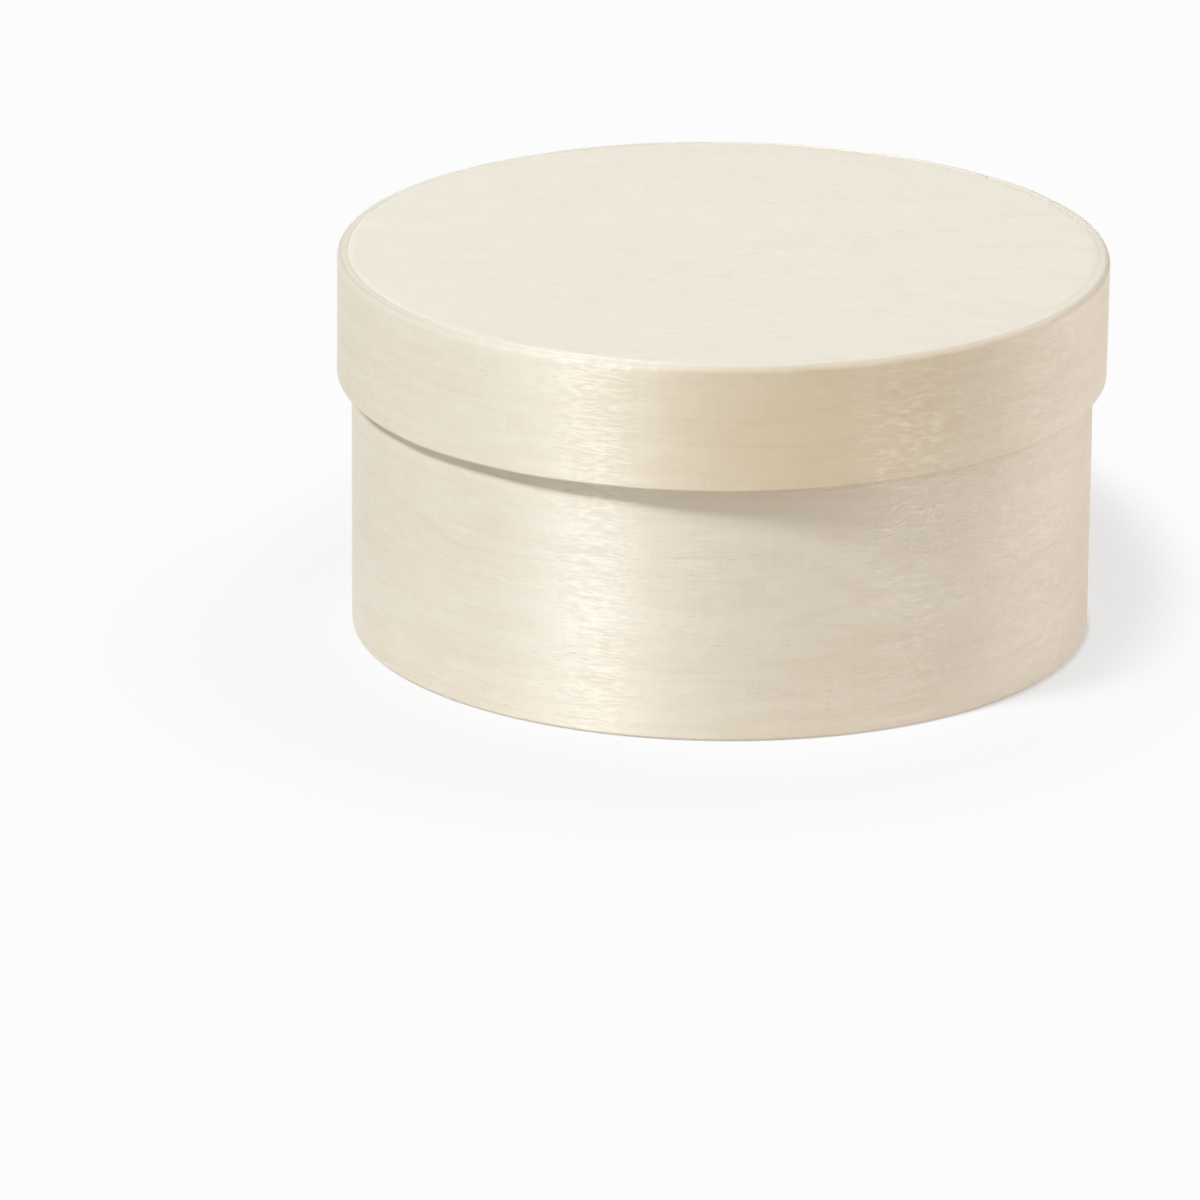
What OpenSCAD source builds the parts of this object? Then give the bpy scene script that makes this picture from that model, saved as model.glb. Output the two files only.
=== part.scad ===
// Round veneer cheese box: a bent hoop and a disc make the box, and a wider pair makes the lid.
// The frame has +Z up, and its origin is the centre of the base, on the table.

/* [Box] */
// Outer diameter of the box's hoop
box_d = 106; // [80:1:160]
// Height of the box's hoop, from the table to its rim
box_h = 53; // [30:1:90]
// Direction of the middle of the box's lap, 90 being the back
box_lap_at = 90; // [0:5:355]

/* [Lid] */
// Height of the lid's hoop
lid_h = 18; // [8:1:26]
// Gap all round between the box's hoop and the lid's
lid_gap = 0.5; // [0.3:0.1:1.5]
// Height of the lid's top edge above its disc
lid_recess = 0.2; // [0.1:0.1:1]
// Direction of the middle of the lid's lap, 90 being the back
lid_lap_at = 60; // [0:5:355]

/* [Veneer] */
// Thickness of the strips that the hoops are bent from
strip_t = 1.5; // [1.2:0.1:2.5]
// Thickness of the base and lid discs
disc_t = 2; // [1.5:0.1:4]
// Length over which the ends of a strip lap, each planed to a long taper
lap_len = 30; // [20:1:40]
// Thickness that is left at the tip of a tapered end
lap_tip = 0.25; // [0.2:0.05:0.4]
// Radius of the sanded outer edges of a hoop
outer_edge_r = 0.5; // [0.3:0.1:0.6]

/* [Glue] */
// Thickness of the glue in the laps and round the discs
glue_t = 0.15; // [0.1:0.01:0.2]
// Height and width of the bead of glue in the corner over the base disc
base_bead = 1; // [0.6:0.1:2]

/* [Hidden] */
$fn = 180;

inner_edge_r = 0.25;     // the inside edges are only touched by the sandpaper
edge_steps = 4;          // straight steps in the quarter round of an edge
disc_edge = 0.2;         // chamfer round a disc
seam_w = 0.3;            // open seam past the tip of a tapered end
rim_gap = 0.1;           // between the box's rim and the lid's disc
bead_clear = 0.05;       // round the lid's glue ring, which the lid turns on
past = 1;                // how far a cutting shape runs past what it cuts

box_r = box_d / 2;
lid_r = box_r + lid_gap + strip_t;
lid_disc_z = box_h + rim_gap;
lid_top_z = lid_disc_z + disc_t + lid_recess;
lid_foot_z = lid_top_z - lid_h;
lid_bead = lid_gap - 3 * bead_clear;      // small, because the box's rim comes up beside it
lid_glue_t = glue_t + 2 * bead_clear;

wood = [0.92, 0.87, 0.77];
disc_wood = [0.93, 0.90, 0.83];
glue = [0.84, 0.74, 0.52];

// Points of a quarter round about [x, y], from the angle a, anticlockwise
function quarter(x, y, r, a) =
    [for (i = [0:edge_steps]) [x + r * cos(a + 90 * i / edge_steps), y + r * sin(a + 90 * i / edge_steps)]];

// Section of a hoop, with its outer wall at r and its edges sanded round
function strip_section(r, h) = concat(
    quarter(r - outer_edge_r, outer_edge_r, outer_edge_r, -90),
    quarter(r - outer_edge_r, h - outer_edge_r, outer_edge_r, 0),
    quarter(r - strip_t + inner_edge_r, h - inner_edge_r, inner_edge_r, 90),
    quarter(r - strip_t + inner_edge_r, inner_edge_r, inner_edge_r, 180));

// Half the angle of a lap on a hoop of outer radius r
function lap_half(r) = lap_len / r * 90 / PI;

// A full ring of veneer, before its lap is cut
module ring(r, h) {
    rotate_extrude() polygon(strip_section(r, h));
}

// Wedge that holds what lies within half degrees of +X
module sector(r, h, half) {
    reach = 2 * r;
    translate([0, 0, -past]) linear_extrude(h + 2 * past)
        polygon([[0, 0], [reach * cos(half), -reach * sin(half)], [reach * cos(half), reach * sin(half)]]);
}

// The glue line between the two tapered ends: a thin shell whose centre is beside the hoop's own,
// so that it crosses the strip from its inner face to its outer one along the lap
module glue_line(r, h, half) {
    middle = r - strip_t / 2;
    aside = (strip_t / 2 - lap_tip) / sin(half);
    line_r = sqrt(pow(middle, 2) + pow(aside * cos(half), 2));
    translate([0, aside, -past]) difference() {
        cylinder(h = h + 2 * past, r = line_r + glue_t / 2);
        translate([0, 0, -past]) cylinder(h = h + 4 * past, r = line_r - glue_t / 2);
    }
}

// A strip bent into a hoop, its outer end lying over its inner one
module hoop(r, h, lap_at) {
    half = lap_half(r);
    open = seam_w / r * 180 / PI;
    rotate([0, 0, lap_at]) difference() {
        ring(r, h);
        intersection() {
            glue_line(r, h, half);
            sector(r, h, half + open);
        }
        rotate([0, 0, half]) translate([r - lap_tip, 0, -past])
            cube([lap_tip + past, seam_w, h + 2 * past]);
        rotate([0, 0, -half]) translate([r - strip_t - past, -seam_w, -past])
            cube([lap_tip + past, seam_w, h + 2 * past]);
    }
}

// The film of glue that holds a lap
module lap_glue(r, h, lap_at) {
    half = lap_half(r);
    rotate([0, 0, lap_at]) intersection() {
        ring(r, h);
        glue_line(r, h, half);
        sector(r, h, half);
    }
}

// A disc of veneer with its edges eased
module disc(r) {
    rotate_extrude() polygon([[0, 0], [r - disc_edge, 0], [r, disc_edge],
        [r, disc_t - disc_edge], [r - disc_edge, disc_t], [0, disc_t]]);
}

// Glue round a disc, drawn with the inside of the box upwards: a film against the hoop's wall,
// glue_t thick, and a hollow bead over the disc's face, which is at the height face
module glue_ring(wall, face, bead) {
    film = wall - glue_t;
    foot = disc_edge + inner_edge_r;
    rotate_extrude() polygon([[film, foot], [wall, foot], [wall, face + bead],
        [wall - bead / 4, face + bead / 3], [wall - bead, face], [film, face]]);
}

module box_hoop() {
    color(wood) hoop(box_r, box_h, box_lap_at);
}

module base_disc() {
    color(disc_wood) disc(box_r - strip_t - glue_t);
}

module base_glue_ring() {
    color(glue) glue_ring(box_r - strip_t, disc_t, base_bead);
}

module box_lap_glue() {
    color(glue) lap_glue(box_r, box_h, box_lap_at);
}

module lid_hoop() {
    color(wood) translate([0, 0, lid_foot_z]) hoop(lid_r, lid_h, lid_lap_at);
}

module lid_disc() {
    color(disc_wood) translate([0, 0, lid_disc_z]) disc(lid_r - strip_t - lid_glue_t);
}

module lid_glue_ring() {
    color(glue) translate([0, 0, lid_disc_z + disc_t]) mirror([0, 0, 1])
        glue_ring(lid_r - strip_t - bead_clear, disc_t + bead_clear, lid_bead);
}

module lid_lap_glue() {
    color(glue) translate([0, 0, lid_foot_z]) lap_glue(lid_r, lid_h, lid_lap_at);
}

box_hoop();
base_disc();
base_glue_ring();
box_lap_glue();
lid_hoop();
lid_disc();
lid_glue_ring();
lid_lap_glue();
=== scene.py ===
import math
import bpy
import numpy as np
from mathutils import Matrix, Vector


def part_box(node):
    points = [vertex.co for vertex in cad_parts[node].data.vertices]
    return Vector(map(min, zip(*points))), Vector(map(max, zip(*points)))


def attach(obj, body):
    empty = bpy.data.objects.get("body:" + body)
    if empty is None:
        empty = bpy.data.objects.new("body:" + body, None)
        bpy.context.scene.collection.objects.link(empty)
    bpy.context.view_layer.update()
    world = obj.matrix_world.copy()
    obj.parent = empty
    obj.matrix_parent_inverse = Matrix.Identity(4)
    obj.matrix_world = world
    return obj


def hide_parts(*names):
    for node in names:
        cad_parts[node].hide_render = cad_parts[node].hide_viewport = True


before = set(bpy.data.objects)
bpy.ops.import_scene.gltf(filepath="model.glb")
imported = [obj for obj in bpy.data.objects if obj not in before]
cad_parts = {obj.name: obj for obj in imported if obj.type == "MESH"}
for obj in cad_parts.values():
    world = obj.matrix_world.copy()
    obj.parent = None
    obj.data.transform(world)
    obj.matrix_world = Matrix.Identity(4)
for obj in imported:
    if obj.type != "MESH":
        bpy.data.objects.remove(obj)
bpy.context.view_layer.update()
mm = 0.001
print("frame:", ", ".join(sorted(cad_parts)))

# Sizes that every piece shares, in metres. Radii and heights come from the frame.
veneer = {
    "strip": 1.5 * mm,        # thickness of the bent strips
    "lapLength": 30 * mm,     # over which the ends of a strip lap
    "lapTip": 0.25 * mm,      # left at the tip of a tapered end
    "glueLine": 0.15 * mm,    # thickness of the glue in a lap
    "seam": 0.3 * mm,         # open past the tip of a tapered end
    "footRound": 0.4 * mm,    # sanded outer edge at the foot of a hoop
    "innerRound": 0.05 * mm,  # its inner edges
    "fibreMap": "fibre",      # UV map in metres: along the fibre, across the fibre
    "edgeValue": "sanded",    # 1 on sanded edges, 0 on the faces
}


cameraView = {
    "target": (0, 0, 0.0275),  # middle of the object
    "elevation": 18.2,         # degrees above the horizon
    "roll": 0.64,              # degrees
    "distance": 1.2946,        # from the target
    "lens": 270.82,            # on a sensor 36 mm wide
    "aimLeft": 0.01741,        # how far left of the target the camera points
    "aimDown": 0.02379,        # and how far below it
}


def makeCamera(settings):
    # The camera stands back from the target along the elevation, and is panned to the aim beside it
    lift = math.radians(settings["elevation"])
    roll = math.radians(settings["roll"])
    target = Vector(settings["target"])
    back = Vector((0, -math.cos(lift), math.sin(lift)))
    level = Vector((1, 0, 0))
    upright = Vector((0, math.sin(lift), math.cos(lift)))
    right = math.cos(roll) * level + math.sin(roll) * upright
    up = math.cos(roll) * upright - math.sin(roll) * level
    place = target + back * settings["distance"]
    aim = target - right * settings["aimLeft"] - up * settings["aimDown"]
    back = (place - aim).normalized()
    right = up.cross(back).normalized()
    up = back.cross(right)
    data = bpy.data.cameras.new("camera")
    data.lens = settings["lens"]
    data.sensor_width = 36
    data.clip_start = 0.05
    data.clip_end = 12
    camera = bpy.data.objects.new("camera", data)
    bpy.context.scene.collection.objects.link(camera)
    camera.matrix_world = Matrix.Translation(place) @ Matrix((right, up, back)).transposed().to_4x4()
    bpy.context.scene.camera = camera


makeCamera(cameraView)
print("camera: set")


def ripple(angle, seed, low, high, amount):
    # Sum of sine waves round the circle, whole numbers of them from low to high, fixed by the seed
    waves = np.arange(low, high + 1)
    rng = np.random.default_rng(seed)
    phases = rng.uniform(0, 2 * math.pi, len(waves))
    weights = rng.uniform(0.5, 1.0, len(waves)) / waves ** 0.5
    shape = (weights[:, None] * np.sin(waves[:, None] * np.ravel(angle) + phases[:, None])).sum(0)
    return amount * (shape / np.sqrt((weights ** 2).sum() / 2) / 2).reshape(np.shape(angle))


def bump(x, at, width):
    # Bell of height 1 at a place, one over e of it a width away
    return np.exp(-((x - at) / width) ** 2)


def aroundTo(angle, at):
    # Angle from a direction, between minus and plus half a turn
    return (angle - at + math.pi) % (2 * math.pi) - math.pi


def glueRadius(angle, radius, half):
    # Radius of the glue line at an angle from the middle of the lap: a circle whose centre is beside the
    # hoop's own, so that it crosses the strip from its inner face to its outer one along the lap
    middle = radius - veneer["strip"] / 2
    aside = (veneer["strip"] / 2 - veneer["lapTip"]) / math.sin(half)
    line = math.sqrt(middle ** 2 + (aside * math.cos(half)) ** 2)
    return aside * np.sin(angle) + np.sqrt(line ** 2 - (aside * np.cos(angle)) ** 2)


def addMesh(name, points, faces, fibre=None, edge=None, sharp=40):
    # Mesh object from arrays: quads and ngons as lists of indices, UVs for each corner, one value a point
    mesh = bpy.data.meshes.new(name)
    mesh.from_pydata(points.reshape(-1, 3), [], faces)
    mesh.update()
    if fibre is not None:
        layer = mesh.uv_layers.new(name=veneer["fibreMap"])
        layer.data.foreach_set("uv", np.asarray(fibre, np.float32).ravel())
    if edge is not None:
        values = mesh.attributes.new(veneer["edgeValue"], "FLOAT", "POINT")
        values.data.foreach_set("value", np.asarray(edge, np.float32).ravel())
    mesh.polygons.foreach_set("use_smooth", np.ones(len(mesh.polygons), bool))
    mesh.set_sharp_from_angle(angle=math.radians(sharp))
    piece = bpy.data.objects.new(name, mesh)
    bpy.context.scene.collection.objects.link(piece)
    return piece


def loopFaces(rows, columns):
    # Quads of a grid whose columns close on themselves, with a flat face at its first and last row
    row, column = np.meshgrid(np.arange(rows - 1), np.arange(columns), indexing="ij")
    after = (column + 1) % columns
    quads = np.stack([row * columns + column, (row + 1) * columns + column,
                      (row + 1) * columns + after, row * columns + after], -1).reshape(-1, 4)
    ends = [list(range(columns)), list(range(rows * columns - 1, (rows - 1) * columns - 1, -1))]
    return quads.tolist() + ends


def stripSection(settings):
    # Places round a hoop's section: which part each point is on, how far along it from 0 to 1
    # Outer wall upwards, top edge inwards, inner wall downwards, bottom edge outwards
    thick = veneer["strip"]
    height = settings["top"] - settings["foot"]
    near = np.array([0, 0.15, 0.4, 0.8, 1.4, 2.2]) * mm / height
    wall = np.concatenate([near, np.linspace(3.2 * mm / height, 1 - 3.2 * mm / height, settings["wallPoints"]),
                           1 - near[::-1]])
    turn = np.linspace(0, math.pi / 2, 7)
    edges = []
    for big in (settings["topRound"], veneer["footRound"]):
        outer = big * (1 - np.cos(turn)) / thick
        inner = 1 - veneer["innerRound"] * (1 - np.cos(turn[::-1])) / thick
        edges.append(np.concatenate([outer[1:], np.linspace(outer[-1], inner[0], 5)[1:-1], inner[:-1]]))
    over, under = edges
    part = np.repeat(np.arange(4), [len(wall), len(over), len(wall), len(under)])
    share = np.concatenate([wall, over, 1 - wall, 1 - under[::-1]])
    return part, share


def edgeDrop(radii, outerRadius, big):
    # How far a rounded edge lies below its flat, at each radius: quarter circles at the outer and inner faces
    small = veneer["innerRound"]
    outer = np.clip(radii - (outerRadius - big), 0, big)
    inner = np.clip((outerRadius - veneer["strip"] + small) - radii, 0, small)
    return big - np.sqrt(big ** 2 - outer ** 2) + small - np.sqrt(small ** 2 - inner ** 2)


def bentStrip(name, settings):
    # A strip bent into a hoop, its tapered ends lapped. The angle runs once round and on through the lap.
    # The strip's inner and outer radius follow the glue line in the lap and are the hoop's own elsewhere;
    # its section is a loop of two walls and two rounded edges, and the hoop's shape shifts every radius.
    radius, thick = settings["radius"], veneer["strip"]
    half = veneer["lapLength"] / radius / 2
    seam = veneer["seam"] / radius
    gap = veneer["glueLine"] / 2
    even = np.linspace(-half, 2 * math.pi + half, settings["steps"])
    shoulders = np.concatenate([half + seam * np.array([0.5, 0.7, 0.85, 1.0, 1.4]),
                                2 * math.pi - half - seam * np.array([1.4, 1.0, 0.85, 0.7, 0.5])])
    lapped = math.radians(settings["lapAt"])
    marks = [aroundTo(math.radians(m["at"]), lapped) % (2 * math.pi)
             + np.linspace(-2.5, 2.5, 21) * m["width"] / radius for m in settings["marks"]]
    angle = np.unique(np.concatenate([even, shoulders, *marks]))
    line = glueRadius(angle, radius, half)
    lineAfter = glueRadius(angle - 2 * math.pi, radius, half)
    opened = np.clip((angle - half - 0.6 * seam) / (0.4 * seam), 0, 1)
    closing = np.clip((angle - 2 * math.pi + half + seam) / (0.4 * seam), 0, 1)
    outerFace = (line - gap) * (1 - opened) + radius * opened
    outerFace = np.where(angle > half + seam, radius, outerFace)
    innerFace = (radius - thick) * (1 - closing) + (lineAfter + gap) * closing
    innerFace = np.where(angle < 2 * math.pi - half - seam, radius - thick, innerFace)
    part, share = stripSection(settings)
    world = angle + lapped
    inward = (outerFace[:, None] - innerFace[:, None]) * share
    r = np.select([part == 0, part == 1, part == 2],
                  [outerFace[:, None] + 0 * share, outerFace[:, None] - inward, innerFace[:, None] + 0 * share],
                  outerFace[:, None] - (outerFace - innerFace)[:, None] * (1 - share))
    flat = r
    top = settings["top"] + settings["rimShape"](world)[:, None] - edgeDrop(r, radius, settings["topRound"])
    for mark in settings["marks"]:
        away = aroundTo(world, math.radians(mark["at"]))[:, None] * radius
        side = np.clip((r - radius + mark["reach"]) / mark["reach"], 0, 1) ** 1.5
        top = top - mark["depth"] * side * np.clip(1.25 - (away / mark["width"]) ** 2, 0, 1)
    foot = settings["foot"] + settings["footShape"](world)[:, None] + edgeDrop(r, radius, veneer["footRound"])
    z = np.select([part == 0, part == 1, part == 2],
                  [foot + (top - foot) * share, top, foot + (top - foot) * share], foot)
    r = r + settings["roundShape"](world[:, None], z)
    points = np.stack([r * np.cos(world)[:, None], r * np.sin(world)[:, None], z], -1)
    rows, columns = z.shape
    steps = np.linalg.norm(np.roll(points, -1, 1) - points, axis=-1)
    across = np.concatenate([np.zeros((rows, 1)), np.cumsum(steps, 1)], 1) + settings["fibreShift"]
    along = np.repeat((angle * radius)[:, None], columns + 1, 1)
    fibre = np.stack([along, across], -1)
    corners = np.stack([fibre[:-1, :-1], fibre[1:, :-1], fibre[1:, 1:], fibre[:-1, 1:]], 2).reshape(-1, 2)
    startCap = fibre[0, :-1]
    endCap = fibre[-1, :-1][::-1]
    # The sanded value rises from the wall over the rounding to the flat of each edge
    rounded = [1 - np.clip(edgeDrop(flat, radius, big) / big, 0, 1)
               for big in (settings["topRound"], veneer["footRound"])]
    # On the roundings this value also lays on the darker edge colour, which is partly painted shade; the foot takes
    # only a share of it
    sanded = np.where(part == 1, rounded[0], np.where(part == 3, rounded[1] * settings["footSanded"], 0.0))
    return addMesh(name, points, loopFaces(rows, columns), np.concatenate([corners, startCap, endCap]), sanded)


def turnedSolid(name, profile, steps, shape, fibreTurn=0.0):
    # A profile of (radius, height) pairs turned round the axis, closed at a pole at each end, or into a ring
    # where it doesn't reach the axis. shape gives each point its change of radius and height.
    ring = profile[0][0] > 0
    profile = np.array(profile)
    body = profile if ring else profile[1:-1]
    angle = np.linspace(0, 2 * math.pi, steps, endpoint=False)[:, None]
    change = shape(angle, body[:, 0], body[:, 1])
    r = body[:, 0] + change[0]
    z = body[:, 1] + change[1]
    points = np.stack([r * np.cos(angle), r * np.sin(angle), z], -1)
    count = len(body)
    spans = count if ring else count - 1
    row, column = np.meshgrid(np.arange(steps), np.arange(spans), indexing="ij")
    after, nextColumn = (row + 1) % steps, (column + 1) % count
    faces = np.stack([row * count + column, after * count + column,
                      after * count + nextColumn, row * count + nextColumn], -1).reshape(-1, 4).tolist()
    points = points.reshape(-1, 3)
    if not ring:
        low, high = len(points), len(points) + 1
        poleLow = shape(np.zeros((1, 1)), np.zeros(1), profile[0, 1:])[1].item() + profile[0, 1]
        poleHigh = shape(np.zeros((1, 1)), np.zeros(1), profile[-1, 1:])[1].item() + profile[-1, 1]
        points = np.concatenate([points, [[0, 0, poleLow], [0, 0, poleHigh]]])
        here = np.arange(steps)
        there = (here + 1) % steps
        faces += np.stack([there * count, here * count, np.full(steps, low)], -1).tolist()
        faces += np.stack([here * count + count - 1, there * count + count - 1, np.full(steps, high)], -1).tolist()
    corner = points[np.concatenate([np.ravel(f) for f in faces])]
    tilt = math.radians(fibreTurn)
    fibre = np.stack([corner[:, 0] * math.cos(tilt) + corner[:, 1] * math.sin(tilt),
                      corner[:, 1] * math.cos(tilt) - corner[:, 0] * math.sin(tilt)], -1)
    return addMesh(name, points, faces, fibre)


def lapFilm(name, settings):
    # The glue of a lap: a film along the glue line, as wide as the lap is high, and at the outer tip it
    # stands in the open seam, with a wavy front that lies just under the strip's face.
    radius, thick = settings["radius"], veneer["strip"]
    half = veneer["lapLength"] / radius / 2
    seam = veneer["seam"] / radius
    lapped = math.radians(settings["lapAt"])
    angle = np.linspace(-half, half + 0.55 * seam, settings["steps"])
    height = np.linspace(0, 1, settings["rows"])
    line = glueRadius(angle, radius, half)
    film = 0.47 * veneer["glueLine"]
    rise = np.clip((angle - half) / (0.2 * seam), 0, 1)[:, None]
    wave = 0.5 + 0.5 * np.sin(height * settings["waves"] + settings["phase"]) * np.sin(height * 23 + 1)
    front = radius - (0.04 + 0.12 * wave) * mm
    outer = (line + film)[:, None] * (1 - rise) + front * rise
    inner = (line - film)[:, None] + 0 * height
    low = settings["foot"] + 0.6 * mm
    high = settings["top"] - settings["topRound"] - 0.1 * mm
    z = low + (high - low) * height
    world = (angle + lapped)[:, None]
    z = z + 0 * world
    sheets = []
    for r in (inner, outer):
        bent = r + settings["roundShape"](world, z)
        sheets.append(np.stack([bent * np.cos(world), bent * np.sin(world), z], -1))
    points = np.concatenate(sheets, 1)
    points[:, len(height):] = points[:, :len(height) - 1:-1]
    return addMesh(name, points, loopFaces(len(angle), 2 * len(height)))


def put(tree, kind, sockets=None, **settings):
    # A new node: settings are its own fields, sockets its inputs, each a value or another node's output
    node = tree.nodes.new("ShaderNode" + kind)
    for key, value in settings.items():
        setattr(node, key, value)
    for key, value in (sockets or {}).items():
        if isinstance(value, bpy.types.NodeSocket):
            tree.links.new(value, node.inputs[key])
        else:
            node.inputs[key].default_value = value
    return node


def calc(tree, operation, *values, clamp=False):
    # A Math node on two or three values or sockets
    return put(tree, "Math", dict(enumerate(values)), operation=operation, use_clamp=clamp).outputs[0]


def ramp(tree, value, low, high, start=0.0, end=1.0):
    # Smooth step from start to end as the value goes from low to high
    sockets = {"Value": value, "From Min": low, "From Max": high, "To Min": start, "To Max": end}
    return put(tree, "MapRange", sockets, interpolation_type="SMOOTHSTEP").outputs[0]


def stretched(tree, along, across, depth, scales, detail, roughness=0.5, shift=0.0):
    # Noise stretched along the fibre: scales are waves a metre along and across it
    place = put(tree, "CombineXYZ", {
        "X": calc(tree, "MULTIPLY", along, scales[0]),
        "Y": calc(tree, "MULTIPLY_ADD", across, scales[1], shift),
        "Z": calc(tree, "MULTIPLY", depth, scales[1])}).outputs[0]
    sockets = {"Vector": place, "Scale": 1.0, "Detail": detail, "Roughness": roughness}
    return put(tree, "TexNoise", sockets).outputs["Fac"]


def mixColour(tree, factor, first, second, blend="MIX"):
    node = put(tree, "Mix", data_type="RGBA", blend_type=blend, clamp_factor=True)
    for key, value in ((0, factor), (6, first), (7, second)):
        if isinstance(value, bpy.types.NodeSocket):
            tree.links.new(value, node.inputs[key])
        else:
            node.inputs[key].default_value = value
    return node.outputs[2]


def newGroup(name, inputs, outputs):
    # Node group with named sockets: inputs are (name, kind, value), outputs are (name, kind)
    group = bpy.data.node_groups.new(name, "ShaderNodeTree")
    for label, kind, value in inputs:
        socket = group.interface.new_socket(label, in_out="INPUT", socket_type="NodeSocket" + kind)
        if value is not None:
            socket.default_value = value
    for label, kind in outputs:
        group.interface.new_socket(label, in_out="OUTPUT", socket_type="NodeSocket" + kind)
    given = group.nodes.new("NodeGroupInput").outputs
    made = group.nodes.new("NodeGroupOutput").inputs
    return group, given, made


def makeVeneerGroup():
    # Planed pale wood: broad growth bands, thin growth lines at the contours of a stretched noise,
    # fibre lines, finer threads, short pores, soft blotches and faint marks of the knife across the fibre.
    # Across is bent by a slow noise first, so that no line runs quite straight. Torn is 1 where the plane
    # has torn the fibre: its lines are darker and lie deeper.
    group, given, made = newGroup("plainVeneer", [
        ("Vector", "Vector", None), ("Pale", "Color", None), ("Dark", "Color", None), ("Pore", "Color", None),
        ("Sway", "Float", 0.0006), ("Bands", "Float", 0.5), ("Lines", "Float", 0.5), ("Pores", "Float", 0.5),
        ("Figure", "Float", 0.3), ("Blotches", "Float", 0.5), ("Torn", "Float", 0.0)],
        [("Color", "Color"), ("Height", "Float"), ("Lustre", "Float"), ("Roughness", "Float")])
    place = put(group, "SeparateXYZ", {"Vector": given["Vector"]}).outputs
    along, across, depth = place["X"], place["Y"], place["Z"]
    slow = stretched(group, along, across, depth, (26, 60), 3)
    bend = calc(group, "MULTIPLY", calc(group, "SUBTRACT", slow, 0.5), given["Sway"])
    across = calc(group, "ADD", across, bend)
    bands = ramp(group, stretched(group, along, across, depth, (12, 140), 4, 0.6), 0.36, 0.66)
    contour = stretched(group, along, across, depth, (7, 55), 3, 0.5, 4.4)
    figure = ramp(group, calc(group, "SINE", calc(group, "MULTIPLY", contour, 75.0)), 0.3, 1.0)
    lines = stretched(group, along, across, depth, (170, 1250), 3, 0.65, 7.3)
    threads = stretched(group, along, across, depth, (560, 3600), 2, 0.6, 3.1)
    where = ramp(group, stretched(group, along, across, depth, (40, 150), 2, 0.5, 5.7), 0.42, 0.62)
    pores = ramp(group, stretched(group, along, across, depth, (520, 4000), 1, 0.4, 1.9), 0.62, 0.72)
    pores = calc(group, "MULTIPLY", pores, where)
    blotches = ramp(group, stretched(group, along, across, depth, (22, 45), 3, 0.5, 9.1), 0.3, 0.7)
    mottle = stretched(group, along, across, depth, (110, 330), 3, 0.6, 4.7)
    chatter = stretched(group, along, across, depth, (1100, 130), 2, 0.6, 8.8)
    torn = calc(group, "MULTIPLY", ramp(group, lines, 0.5, 0.64), given["Torn"])
    shade = calc(group, "MULTIPLY", bands, given["Bands"])
    shade = calc(group, "MULTIPLY_ADD", calc(group, "SUBTRACT", lines, 0.5), given["Lines"], shade)
    shade = calc(group, "MULTIPLY_ADD", calc(group, "SUBTRACT", threads, 0.5),
                 calc(group, "MULTIPLY", given["Lines"], 0.7), shade)
    shade = calc(group, "MULTIPLY_ADD", calc(group, "SUBTRACT", mottle, 0.5),
                 calc(group, "MULTIPLY", given["Lines"], 0.8), shade)
    shade = calc(group, "MULTIPLY_ADD", calc(group, "SUBTRACT", chatter, 0.5),
                 calc(group, "MULTIPLY", given["Lines"], 0.5), shade)
    shade = calc(group, "MULTIPLY_ADD", torn, 0.9, shade)
    shade = calc(group, "MULTIPLY_ADD", figure, given["Figure"], shade)
    shade = calc(group, "MULTIPLY_ADD", blotches, given["Blotches"], shade, clamp=True)
    wood = mixColour(group, shade, given["Pale"], given["Dark"])
    depthShare = calc(group, "MULTIPLY", pores, given["Pores"])
    colour = mixColour(group, depthShare, wood, given["Pore"])
    group.links.new(colour, made["Color"])
    relief = calc(group, "MULTIPLY_ADD", lines, 0.5, calc(group, "MULTIPLY", threads, 0.3))
    relief = calc(group, "SUBTRACT", relief, calc(group, "MULTIPLY", depthShare, 0.6))
    relief = calc(group, "MULTIPLY_ADD", torn, -1.2, relief)
    waves = stretched(group, along, across, depth, (120, 420), 2, 0.5, 6.2)
    relief = calc(group, "MULTIPLY_ADD", waves, 1.1, relief)
    relief = calc(group, "MULTIPLY_ADD", chatter, 0.2, relief)
    group.links.new(relief, made["Height"])
    streak = calc(group, "MULTIPLY_ADD", threads, 0.6, calc(group, "MULTIPLY", lines, 0.4))
    streak = ramp(group, streak, 0.38, 0.62)
    dulled = ramp(group, calc(group, "ADD", bands, blotches), 0.2, 1.6, 1.0, 0.6)
    group.links.new(calc(group, "MULTIPLY", streak, dulled), made["Lustre"])
    sheen = calc(group, "MULTIPLY", calc(group, "SUBTRACT", 0.5, streak), 0.4)
    sheen = calc(group, "ADD", sheen, ramp(group, blotches, 0, 1, 0.66, 0.72))
    group.links.new(sheen, made["Roughness"])
    return group


def makePatchGroup():
    # Oval patch on the strip: 1 at its centre, falling smoothly to 0 at its reach, with a ragged border
    group, given, made = newGroup("ovalPatch", [
        ("Vector", "Vector", None), ("Centre", "Vector", None), ("Reach", "Vector", None), ("Ragged", "Float", 0.3)],
        [("Mask", "Float")])
    away = put(group, "VectorMath", {0: given["Vector"], 1: given["Centre"]}, operation="SUBTRACT").outputs[0]
    away = put(group, "VectorMath", {0: away, 1: given["Reach"]}, operation="DIVIDE").outputs[0]
    away = put(group, "VectorMath", {0: away}, operation="LENGTH").outputs["Value"]
    noise = put(group, "TexNoise", {"Vector": given["Vector"], "Scale": 160.0, "Detail": 2.0}).outputs["Fac"]
    away = calc(group, "MULTIPLY_ADD", calc(group, "SUBTRACT", noise, 0.5), given["Ragged"], away)
    group.links.new(ramp(group, away, 0, 1, 1, 0), made["Mask"])
    return group


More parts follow.
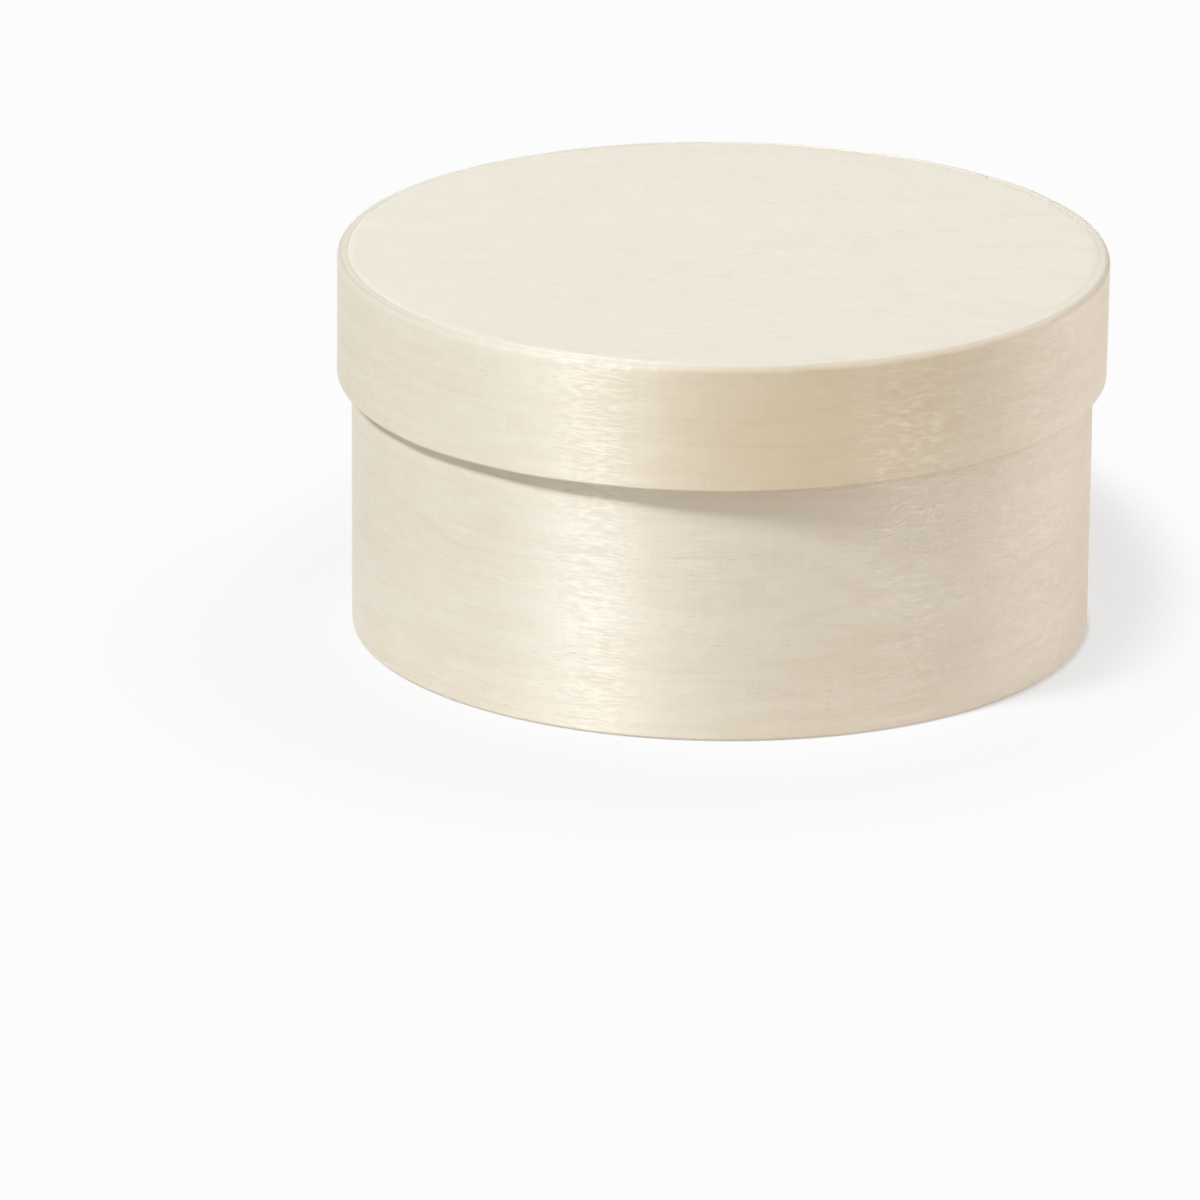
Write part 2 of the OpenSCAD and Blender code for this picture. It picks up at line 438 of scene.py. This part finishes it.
def makeFleckGroup():
    # Rare specks: cells of a grid, few of which hold a spot of their own size
    group, given, made = newGroup("woodFlecks", [
        ("Vector", "Vector", None), ("Base", "Color", None), ("Fleck", "Color", None),
        ("Spacing", "Float", 120.0), ("Share", "Float", 0.1), ("Size", "Float", 0.1)],
        [("Color", "Color"), ("Mask", "Float")])
    cells = put(group, "TexVoronoi", {"Vector": given["Vector"], "Scale": given["Spacing"]})
    kept = put(group, "SeparateColor", {"Color": cells.outputs["Color"]}).outputs
    chosen = calc(group, "LESS_THAN", kept["Red"], given["Share"])
    size = calc(group, "MULTIPLY", given["Size"], calc(group, "MULTIPLY_ADD", kept["Green"], 0.8, 0.2))
    ragged = put(group, "TexNoise", {"Vector": given["Vector"], "Scale": 2400.0, "Detail": 2.0}).outputs["Fac"]
    reach = calc(group, "MULTIPLY", size, calc(group, "MULTIPLY_ADD", ragged, 1.2, 0.4))
    spot = calc(group, "SUBTRACT", 1.0, calc(group, "DIVIDE", cells.outputs["Distance"], reach), clamp=True)
    mask = calc(group, "MULTIPLY", calc(group, "MULTIPLY", ramp(group, spot, 0, 0.5), chosen),
                calc(group, "MULTIPLY_ADD", kept["Blue"], 0.6, 0.4))
    group.links.new(mixColour(group, mask, given["Base"], given["Fleck"]), made["Color"])
    group.links.new(mask, made["Mask"])
    return group


veneerGroup = makeVeneerGroup()
fleckGroup = makeFleckGroup()
patchGroup = makePatchGroup()

woods = {
    "boxStrip": {
        "pale": (0.80, 0.712, 0.583), "dark": (0.708, 0.60, 0.46), "pore": (0.55, 0.43, 0.31),
        # edge: colour of the sanded roundings, darker than the wood: partly the sanded wood's own colour, partly
        # painted shade that tones down the highlight the rounding catches; rim: the flat of the top edge
        "edge": (0.73, 0.64, 0.52), "rim": (0.76, 0.68, 0.56), "fleck": (0.44, 0.34, 0.24),
        "sway": 0.0030, "bands": 0.22, "figure": 0.20, "lines": 1.0, "pores": 0.38, "blotches": 0.28,
        "fleckSpacing": 90, "fleckShare": 0.06, "fleckSize": 0.09, "relief": 0.000082,
        # a swirl in the fibre, right of the front: place and reach along and across, how far it lifts the
        # lines, how far it curls them, and how torn the fibre is there
        "swirl": {"at": (0.199, 0.0300), "reach": (0.016, 0.013), "lift": -0.0014, "curl": 0.0042, "torn": 0.6},
    },
    "lidStrip": {
        "pale": (0.812, 0.72, 0.585), "dark": (0.72, 0.612, 0.465), "pore": (0.55, 0.43, 0.30),
        # edge: colour of the sanded roundings, darker than the wood: partly the sanded wood's own colour, partly
        # painted shade that tones down the highlight the rounding catches; rim: the flat of the top edge
        "edge": (0.69, 0.605, 0.49), "rim": (0.835, 0.75, 0.625), "fleck": (0.44, 0.34, 0.24),
        "sway": 0.0026, "bands": 0.22, "figure": 0.20, "lines": 1.0, "pores": 0.38, "blotches": 0.28,
        "fleckSpacing": 90, "fleckShare": 0.06, "fleckSize": 0.09, "relief": 0.00005,
        # a warmer stretch of heartwood: place along the strip, reach to each side, share and colour
        "warm": {"at": 0.2165, "reach": 0.047, "share": 1.0, "colour": (0.72, 0.59, 0.405)},
    },
    "discBoard": {
        "pale": (0.875, 0.80, 0.675), "dark": (0.81, 0.725, 0.59), "pore": (0.58, 0.48, 0.36),
        "fleck": (0.48, 0.40, 0.30),
        "sway": 0.0026, "bands": 0.10, "figure": 0.12, "lines": 0.65, "pores": 0.35, "blotches": 0.22,
        "fleckSpacing": 70, "fleckShare": 0.06, "fleckSize": 0.07, "relief": 0.00003,
    },
}
silk = {"anisotropic": 0.86, "turn": 0.25, "ior": 2.55, "metallic": (0.0, 0.07), "edgeRoughness": 0.9}


def solid(colour):
    return (*colour, 1.0)


def stripPatches(settings):
    # Names, centres and reaches of the patches that a strip has, in its UV map's metres
    found = []
    if "swirl" in settings:
        swirl = settings["swirl"]
        found.append(("swirl", (*swirl["at"], 0), (*swirl["reach"], 1)))
    if "warm" in settings:
        found.append(("warm", (settings["warm"]["at"], 0, 0), (settings["warm"]["reach"], 10, 1)))
    return found


def makeWood(name, settings, onStrip, turn=0.0, shift=(0, 0, 0)):
    # Veneer with its fibre along U of the strip, or along the turned X axis of a disc
    material = bpy.data.materials.new(name)
    material.use_nodes = True
    tree = material.node_tree
    shader = tree.nodes["Principled BSDF"]
    if onStrip:
        place = put(tree, "UVMap", uv_map=veneer["fibreMap"]).outputs[0]
    else:
        place = put(tree, "TexCoord").outputs["Object"]
    place = put(tree, "Mapping", {"Vector": place, "Location": shift,
                                  "Rotation": (0, 0, math.radians(turn))}).outputs[0]
    patches = {}
    for label, centre, reach in stripPatches(settings):
        patch = put(tree, "Group", node_tree=patchGroup)
        tree.links.new(place, patch.inputs["Vector"])
        patch.inputs["Centre"].default_value = centre
        patch.inputs["Reach"].default_value = reach
        patches[label] = patch.outputs["Mask"]
    wood = put(tree, "Group", node_tree=veneerGroup)
    if "swirl" in patches:
        lift = calc(tree, "MULTIPLY", patches["swirl"], settings["swirl"]["lift"])
        lift = put(tree, "CombineXYZ", {"Y": lift}).outputs[0]
        bent = put(tree, "VectorMath", {0: place, 1: lift}, operation="ADD").outputs[0]
        curl = put(tree, "TexNoise", {"Vector": place, "Scale": 170.0, "Detail": 1.0}).outputs["Color"]
        curl = put(tree, "VectorMath", {0: curl, 1: (0.5, 0.5, 0.5)}, operation="SUBTRACT").outputs[0]
        reach = calc(tree, "MULTIPLY", patches["swirl"], settings["swirl"]["curl"])
        curl = put(tree, "VectorMath", {0: curl, "Scale": reach}, operation="SCALE").outputs[0]
        bent = put(tree, "VectorMath", {0: bent, 1: curl}, operation="ADD").outputs[0]
        tree.links.new(bent, wood.inputs["Vector"])
        tree.links.new(calc(tree, "MULTIPLY", patches["swirl"], settings["swirl"]["torn"]), wood.inputs["Torn"])
    else:
        tree.links.new(place, wood.inputs["Vector"])
    wood.inputs["Pale"].default_value = solid(settings["pale"])
    wood.inputs["Dark"].default_value = solid(settings["dark"])
    wood.inputs["Pore"].default_value = solid(settings["pore"])
    for label in ("Sway", "Bands", "Figure", "Lines", "Pores", "Blotches"):
        wood.inputs[label].default_value = settings[label.lower()]
    colour = wood.outputs["Color"]
    if "warm" in patches:
        warm = calc(tree, "MULTIPLY", patches["warm"], settings["warm"]["share"])
        tint = [w / p for w, p in zip(settings["warm"]["colour"], settings["pale"])]
        colour = mixColour(tree, warm, colour, mixColour(tree, 1.0, colour, solid(tint), "MULTIPLY"))
    if onStrip:
        # Sanded edges: the edge colour on the roundings is darker than the wood, partly its own sanded colour and
        # partly painted shade that tones down the highlight they catch; the rim colour lies on the flat
        edge = put(tree, "Attribute", attribute_name=veneer["edgeValue"]).outputs["Fac"]
        flatShare = ramp(tree, edge, 0.85, 1.0)
        sandedAndShadedColour = mixColour(tree, flatShare, solid(settings["edge"]), solid(settings["rim"]))
        colour = mixColour(tree, edge, colour, sandedAndShadedColour)
    flecks = put(tree, "Group", {}, node_tree=fleckGroup)
    tree.links.new(place, flecks.inputs["Vector"])
    tree.links.new(colour, flecks.inputs["Base"])
    flecks.inputs["Fleck"].default_value = solid(settings["fleck"])
    for label in ("Spacing", "Share", "Size"):
        flecks.inputs[label].default_value = settings["fleck" + label]
    tree.links.new(flecks.outputs["Color"], shader.inputs["Base Color"])
    relief = calc(tree, "MULTIPLY_ADD", flecks.outputs["Mask"], -1.5, wood.outputs["Height"])
    roughness = wood.outputs["Roughness"]
    lustre = ramp(tree, wood.outputs["Lustre"], 0, 1, *silk["metallic"])
    if onStrip:
        lustre = calc(tree, "MULTIPLY", lustre, calc(tree, "SUBTRACT", 1.0, edge), clamp=True)
        roughness = calc(tree, "MULTIPLY_ADD", edge, silk["edgeRoughness"] - 0.7, roughness, clamp=True)
        relief = calc(tree, "MULTIPLY", relief, calc(tree, "SUBTRACT", 1.0, edge), clamp=True)
    tree.links.new(roughness, shader.inputs["Roughness"])
    tree.links.new(lustre, shader.inputs["Metallic"])
    bumped = put(tree, "Bump", {"Height": relief, "Strength": 1.0, "Distance": settings["relief"]})
    tree.links.new(bumped.outputs[0], shader.inputs["Normal"])
    grainWay = put(tree, "Tangent", direction_type="UV_MAP", uv_map=veneer["fibreMap"])
    tree.links.new(grainWay.outputs[0], shader.inputs["Tangent"])
    shader.inputs["Anisotropic"].default_value = silk["anisotropic"]
    shader.inputs["Anisotropic Rotation"].default_value = silk["turn"]
    shader.inputs["IOR"].default_value = silk["ior"]
    return material


def makeGlue(name, settings):
    # Dried glue: amber, darker where it lies thick, slightly glossy
    material = bpy.data.materials.new(name)
    material.use_nodes = True
    tree = material.node_tree
    shader = tree.nodes["Principled BSDF"]
    place = put(tree, "TexCoord").outputs["Object"]
    thickness = put(tree, "TexNoise", {"Vector": place, "Scale": settings["patches"], "Detail": 3.0}).outputs["Fac"]
    grains = put(tree, "TexNoise", {"Vector": place, "Scale": 1800.0, "Detail": 2.0}).outputs["Fac"]
    colour = mixColour(tree, ramp(tree, thickness, 0.3, 0.7), solid(settings["thin"]), solid(settings["thick"]))
    tree.links.new(colour, shader.inputs["Base Color"])
    tree.links.new(ramp(tree, grains, 0.3, 0.7, 0.28, 0.45), shader.inputs["Roughness"])
    height = calc(tree, "MULTIPLY_ADD", grains, 0.3, thickness)
    bumped = put(tree, "Bump", {"Height": height, "Strength": 0.6, "Distance": 0.0002})
    tree.links.new(bumped.outputs[0], shader.inputs["Normal"])
    shader.inputs["IOR"].default_value = 1.5
    return material


boxWood = makeWood("boxStripVeneer", woods["boxStrip"], True)
lidWood = makeWood("lidStripVeneer", woods["lidStrip"], True)
baseWood = makeWood("baseDiscVeneer", woods["discBoard"], False, turn=24, shift=(0.2, 0.4, 0))
topWood = makeWood("lidDiscVeneer", woods["discBoard"], False, turn=3)
glueLook = {"patches": 140.0, "thin": (0.74, 0.60, 0.36), "thick": (0.60, 0.43, 0.20)}
glue = makeGlue("driedGlue", glueLook)
print("materials: set")


def finishPiece(piece, material, node, body):
    piece.data.materials.append(material)
    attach(piece, body)
    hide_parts(node)
    print("piece:", piece.name, len(piece.data.polygons), "faces")


def tall(node):
    # Lowest and highest point of a node, and its outer radius
    low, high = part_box(node)
    return low.z, high.z, max(high.x, -low.x, high.y, -low.y)


boxFoot, boxTop, boxRadius = tall("box_hoop")
lidFoot, lidTop, lidRadius = tall("lid_hoop")
baseLow, baseHigh, baseRadius = tall("base_disc")
discLow, discHigh, discRadius = tall("lid_disc")

boxStrip = {
    "radius": boxRadius, "foot": boxFoot, "top": boxTop, "topRound": 0.4 * mm,
    "lapAt": 90, "steps": 720, "wallPoints": 24,
    "outOfRound": 0.06 * mm, "waves": 0.02 * mm, "rimWaves": 0.06 * mm, "footWaves": 0.03 * mm,
    "flat": 0.28 * mm,   # how far the upper wall is pressed in, right of the front
    "full": 0.12 * mm,   # and how far it stands out, left of the front
    "footSanded": 0.3, "fibreShift": 0.0, "marks": [],
}
boxStrip["roundShape"] = lambda angle, z: (
    ripple(angle, 3, 2, 4, boxStrip["outOfRound"])
    + ripple(angle, 5, 9, 26, boxStrip["waves"]) * np.sin(z * 190 + 2 * np.sin(3 * angle))
    + np.clip((z - 8 * mm) / (30 * mm), 0, 1) * (
        boxStrip["full"] * bump(aroundTo(angle, math.radians(-137)), 0, 0.36)
        - boxStrip["flat"] * bump(aroundTo(angle, math.radians(-75)), 0, 0.6)))
boxStrip["rimShape"] = lambda angle: ripple(angle, 7, 2, 30, boxStrip["rimWaves"]) - boxStrip["rimWaves"]
boxStrip["footShape"] = lambda angle: boxStrip["footWaves"] * (1 + ripple(angle, 8, 2, 30, 1)) / 2
boxHoop = bentStrip("boxHoop", boxStrip)
finishPiece(boxHoop, boxWood, "box_hoop", "box")

lidStrip = {
    "radius": lidRadius, "foot": lidFoot, "top": lidTop, "topRound": 0.95 * mm,
    "lapAt": 60, "steps": 760, "wallPoints": 12,
    "outOfRound": 0.20 * mm, "waves": 0.02 * mm, "rimWaves": 0.05 * mm, "footWaves": 0.05 * mm,
    "footTilt": 0.25 * mm,   # the foot hangs lower at the left front than at the right
    "footSag": 0.40 * mm,    # and sags a little more there
    "ragged": 0.05 * mm,     # fine unevenness along the rounded rim
    "footSanded": 0.15, "fibreShift": 0.0,
    "marks": [{"at": -81, "depth": 0.28 * mm, "width": 0.8 * mm, "reach": 0.9 * mm}],  # a chip in the rim
}


def lidRoundShape(angle, z):
    # Out of round by its foot, true where the disc holds it; fine waves over the whole wall
    free = np.clip((lidTop - 3 * mm - z) / (lidTop - 3 * mm - lidFoot), 0, 1) ** 1.3
    oval = lidStrip["outOfRound"] * np.cos(3 * aroundTo(angle, math.radians(-80)))
    waves = free * ripple(angle, 15, 9, 26, lidStrip["waves"]) * np.sin(z * 260 + 2 * np.sin(3 * angle))
    ragged = ripple(angle, 16, 60, 190, lidStrip["ragged"]) * bump(z, lidTop - 0.5 * mm, 0.45 * mm)
    return free * oval + waves + ragged


def lidFootShape(angle):
    # Lower at the left front, higher at the right, with a small step beside the front
    lean = -lidStrip["footTilt"] * np.cos(aroundTo(angle, math.radians(-140)))
    lean = lean - lidStrip["footSag"] * bump(aroundTo(angle, math.radians(-140)), 0, 0.42)
    step = 0.08 * mm * np.tanh(aroundTo(angle, math.radians(-72)) * lidRadius / (0.6 * mm))
    step = step * bump(aroundTo(angle, math.radians(-72)), 0, 0.12)
    return lean + step + ripple(angle, 17, 4, 40, lidStrip["footWaves"])


lidStrip["roundShape"] = lidRoundShape
lidStrip["rimShape"] = lambda angle: ripple(angle, 19, 2, 30, lidStrip["rimWaves"]) - lidStrip["rimWaves"]
lidStrip["footShape"] = lidFootShape
lidHoop = bentStrip("lidHoop", lidStrip)
finishPiece(lidHoop, lidWood, "lid_hoop", "lid")


def discProfile(radius, low, high, rounding, lip=0.0, lipFrom=0.0):
    # Half a section: out along the underside, round the edges, and in along the upper side.
    # A lip wider than the disc stands over the glue round it, from a height upwards.
    turn = np.linspace(0, math.pi / 2, 5)
    faces = np.concatenate([np.linspace(0, radius - rounding, 40)])
    under = [(r, low) for r in faces]
    underEdge = [(radius - rounding + rounding * math.sin(t), low + rounding - rounding * math.cos(t))
                 for t in turn[1:]]
    wide = radius + lip
    side = [(radius, lipFrom), (wide, lipFrom)] if lip else []
    upperEdge = [(wide - rounding + rounding * math.cos(t), high - rounding + rounding * math.sin(t))
                 for t in turn]
    upper = [(r, high) for r in np.linspace(0, wide - rounding, 42)[::-1][1:]]
    return under + underEdge + side + upperEdge + upper


discs = {
    "base": {"round": 0.2 * mm, "sag": 0.05 * mm, "steps": 360, "lean": 0.0},
    "lid": {"round": 0.03 * mm, "sag": 0.04 * mm, "steps": 360, "lip": 0.235 * mm, "lipFrom": 54.75 * mm,
            "rise": 0.16 * mm, "lean": 0.15 * mm},   # almost flush with the hoop, and deeper at the right
}


def boardShape(seed, settings, radius, middle):
    # A board's faces wave very slightly across its grain and its upper face leans; its edge keeps its place
    def shape(angle, r, z):
        rng = np.random.default_rng(seed)
        x, y = r * np.cos(angle), r * np.sin(angle)
        wave = 0
        for k in range(5):
            wave = wave + np.sin(y * rng.uniform(60, 260) + x * rng.uniform(-30, 30) + rng.uniform(0, 6.3))
        calm = np.clip((radius - r) / (4 * mm), 0, 1)
        lean = settings["lean"] * (1 + x / radius) / 2 * (z > middle)
        return 0 * x, settings["sag"] * wave / 5 * calm - lean
    return shape


base = discs["base"]
baseDisc = turnedSolid("baseDisc", discProfile(baseRadius, baseLow, baseHigh, base["round"]), base["steps"],
                       boardShape(21, base, baseRadius, (baseLow + baseHigh) / 2), 24)
finishPiece(baseDisc, baseWood, "base_disc", "box")

top = discs["lid"]
lidDisc = turnedSolid("lidDisc", discProfile(discRadius, discLow, discHigh + top["rise"], top["round"], top["lip"],
                                             top["lipFrom"]),
                      top["steps"], boardShape(23, top, discRadius, discHigh - 0.2 * mm), 3)
finishPiece(lidDisc, topWood, "lid_disc", "lid")

glueBead = {"clear": 0.02 * mm, "bead": 1.0 * mm, "uneven": 0.16 * mm, "steps": 540}


def baseBeadPiece():
    # Film between the base disc and the wall, and a hollow bead over the disc, uneven round the circle
    wall = boxRadius - veneer["strip"] - glueBead["clear"]
    film = baseRadius + glueBead["clear"]
    face, size = baseHigh + glueBead["clear"], glueBead["bead"]
    turn = np.linspace(0, math.pi / 2, 7)
    hollow = [(wall - size * math.cos(t) ** 1.6, face + 0.04 * mm + size * math.sin(t) ** 2.2) for t in turn[1:]]
    profile = [(wall, 0.45 * mm), (wall, face + 0.3 * mm), *reversed(hollow), (wall - size, face + 0.04 * mm),
               (wall - size, face), (film, face), (film, 0.45 * mm)]

    def shape(angle, r, z):
        share = np.clip((wall - r) / size, 0, 1)
        rise = np.clip((z - face - 0.04 * mm) / size, 0, 1)
        width = ripple(angle, 31, 5, 60, glueBead["uneven"]) - 0.5 * glueBead["uneven"]
        height = ripple(angle, 33, 4, 50, glueBead["uneven"]) - 0.5 * glueBead["uneven"]
        over = (z >= face - 1e-6)
        return -width * share * over, height * rise
    return turnedSolid("baseGlueBead", profile, glueBead["steps"], shape)


baseBead = baseBeadPiece()
finishPiece(baseBead, glue, "base_glue_ring", "box")

for node in ("lid_glue_ring",):
    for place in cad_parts[node].material_slots:
        place.material = glue

boxLap = lapFilm("boxLapGlue", {**boxStrip, "steps": 40, "rows": 120, "waves": 61, "phase": 0.4})
finishPiece(boxLap, glue, "box_lap_glue", "box")
lidLap = lapFilm("lidLapGlue", {**lidStrip, "steps": 40, "rows": 60, "waves": 43, "phase": 1.7})
finishPiece(lidLap, glue, "lid_lap_glue", "lid")


floorLook = {
    "size": 8.0, "under": 0.05 * mm,
    "bounce": (0.525, 0.495, 0.458),  # its colour for the light that it throws back
    "seen": 0.975,           # how bright it looks, 1 being white
    "shadowed": 0.27,        # share of that which a shadow can take away, beside the box
    "fade": (0.0575, 0.073), # distances from the middle over which that share falls to nothing
    "middle": (0, 0.020, 0), # of that oval, which is longer from front to back
    "narrow": 0.75,
    "lit": 1.04,             # light that falls on it, as a share of what makes a white surface white
    "paintedShadeAt": (-0.008, -0.012, 0),  # middle of the faint painted shade round the foot
    "paintedShade": (0.048, 0.095, 0.045),  # distances from there over which the painted shade fades, and how deep it is
    "contact": (0.0530, 0.0537, 0.25),  # distances from the axis close round the foot, and the share added there
}


def makeFloor(settings):
    # Pale floor. Seen directly or in a reflection it is part glow, so that it is near white and keeps a
    # soft shadow beside the box; the light that it throws back on the object comes from its plain colour.
    span = settings["size"] / 2
    corners = np.array([(-span, -span, -settings["under"]), (span, -span, -settings["under"]),
                        (span, span, -settings["under"]), (-span, span, -settings["under"])])
    floor = addMesh("floor", corners, [[0, 1, 2, 3]])
    material = bpy.data.materials.new("paleFloor")
    material.use_nodes = True
    tree = material.node_tree
    shader = tree.nodes["Principled BSDF"]
    path = put(tree, "LightPath").outputs
    seen = calc(tree, "MAXIMUM", path["Is Camera Ray"], path["Is Glossy Ray"])
    seen = calc(tree, "MAXIMUM", seen, path["Is Transmission Ray"])
    ground = put(tree, "TexCoord").outputs["Object"]
    place = put(tree, "VectorMath", {0: ground, 1: settings["middle"]}, operation="SUBTRACT").outputs[0]
    place = put(tree, "VectorMath", {0: place, 1: (1, settings["narrow"], 1)}, operation="MULTIPLY").outputs[0]
    away = put(tree, "VectorMath", {0: place}, operation="LENGTH").outputs["Value"]
    share = ramp(tree, away, *settings["fade"], settings["shadowed"], 0)
    near, far, added = settings["contact"]
    close = put(tree, "VectorMath", {0: ground}, operation="LENGTH").outputs["Value"]
    share = calc(tree, "ADD", share, ramp(tree, close, near, far, added, 0), clamp=True)
    plain = calc(tree, "DIVIDE", calc(tree, "MULTIPLY", share, settings["seen"]), settings["lit"])
    # Painted shade: the floor's glow is dimmed round the foot by distance alone
    near, far, dimmer = settings["paintedShade"]
    shaded = put(tree, "VectorMath", {0: ground, 1: settings["paintedShadeAt"]}, operation="SUBTRACT").outputs[0]
    shaded = put(tree, "VectorMath", {0: shaded}, operation="LENGTH").outputs["Value"]
    full = ramp(tree, shaded, near, far, settings["seen"] * (1 - dimmer), settings["seen"])
    glow = calc(tree, "MULTIPLY", calc(tree, "SUBTRACT", 1.0, share, clamp=True), full)
    plainColour = put(tree, "CombineColor", {"Red": plain, "Green": plain, "Blue": plain}).outputs[0]
    glowColour = put(tree, "CombineColor", {"Red": glow, "Green": glow, "Blue": glow}).outputs[0]
    colour = mixColour(tree, seen, solid(settings["bounce"]), plainColour)
    shine = mixColour(tree, seen, solid((0, 0, 0)), glowColour)
    tree.links.new(colour, shader.inputs["Base Color"])
    tree.links.new(shine, shader.inputs["Emission Color"])
    shader.inputs["Emission Strength"].default_value = 1.0
    shader.inputs["Roughness"].default_value = 1.0
    shader.inputs["Specular IOR Level"].default_value = 0.0
    floor.data.materials.append(material)


def makeSun(name, settings):
    # A wide soft lamp at a direction given as degrees right of the front, and above the horizon
    data = bpy.data.lights.new(name, "SUN")
    data.energy = settings["strength"]
    data.angle = math.radians(settings["softness"])
    data.color = settings["colour"]
    sun = bpy.data.objects.new(name, data)
    bpy.context.scene.collection.objects.link(sun)
    side, lift = math.radians(settings["side"]), math.radians(settings["lift"])
    towards = Vector((math.sin(side) * math.cos(lift), -math.cos(side) * math.cos(lift), math.sin(lift)))
    sun.rotation_euler = towards.to_track_quat("Z", "Y").to_euler()


def makeWorld(settings):
    # Even light from all round, and plain white where the camera or a reflection sees it
    world = bpy.data.worlds.new("studio")
    bpy.context.scene.world = world
    world.use_nodes = True
    tree = world.node_tree
    path = put(tree, "LightPath").outputs
    seen = calc(tree, "MAXIMUM", path["Is Camera Ray"], path["Is Glossy Ray"])
    seen = calc(tree, "MAXIMUM", seen, path["Is Transmission Ray"])
    strength = ramp(tree, seen, 0, 1, settings["ambient"], settings["seen"])
    tree.links.new(strength, tree.nodes["Background"].inputs["Strength"])
    colour = mixColour(tree, seen, solid(settings["colour"]), solid((1, 1, 1)))
    tree.links.new(colour, tree.nodes["Background"].inputs["Color"])


# Directions in degrees: side is to the right of the front, lift above the horizon, softness how wide it looks
lights = {
    "world": {"ambient": 0.02, "colour": (1, 0.95, 0.90), "seen": 1.0},
    "suns": {
        "keyLamp": {"strength": 2.93, "softness": 11, "colour": (0.93, 1, 1.035), "side": -54, "lift": 50},
        "lowStrip": {"strength": 0.60, "softness": 13, "colour": (1, 0.98, 0.955), "side": -33, "lift": 12},
        "leftCard": {"strength": 0.08, "softness": 40, "colour": (1, 1, 1), "side": -95, "lift": 15},
        "rightFill": {"strength": 1.10, "softness": 36, "colour": (1, 0.93, 0.87), "side": 58, "lift": 7},
        "rimFill": {"strength": 1.36, "softness": 50, "colour": (1, 0.94, 0.89), "side": 113, "lift": 14},
    },
}
makeFloor(floorLook)
makeWorld(lights["world"])
for name, sun in lights["suns"].items():
    makeSun(name, sun)
bpy.context.scene.view_settings.view_transform = "Standard"
print("floor and lights: set")
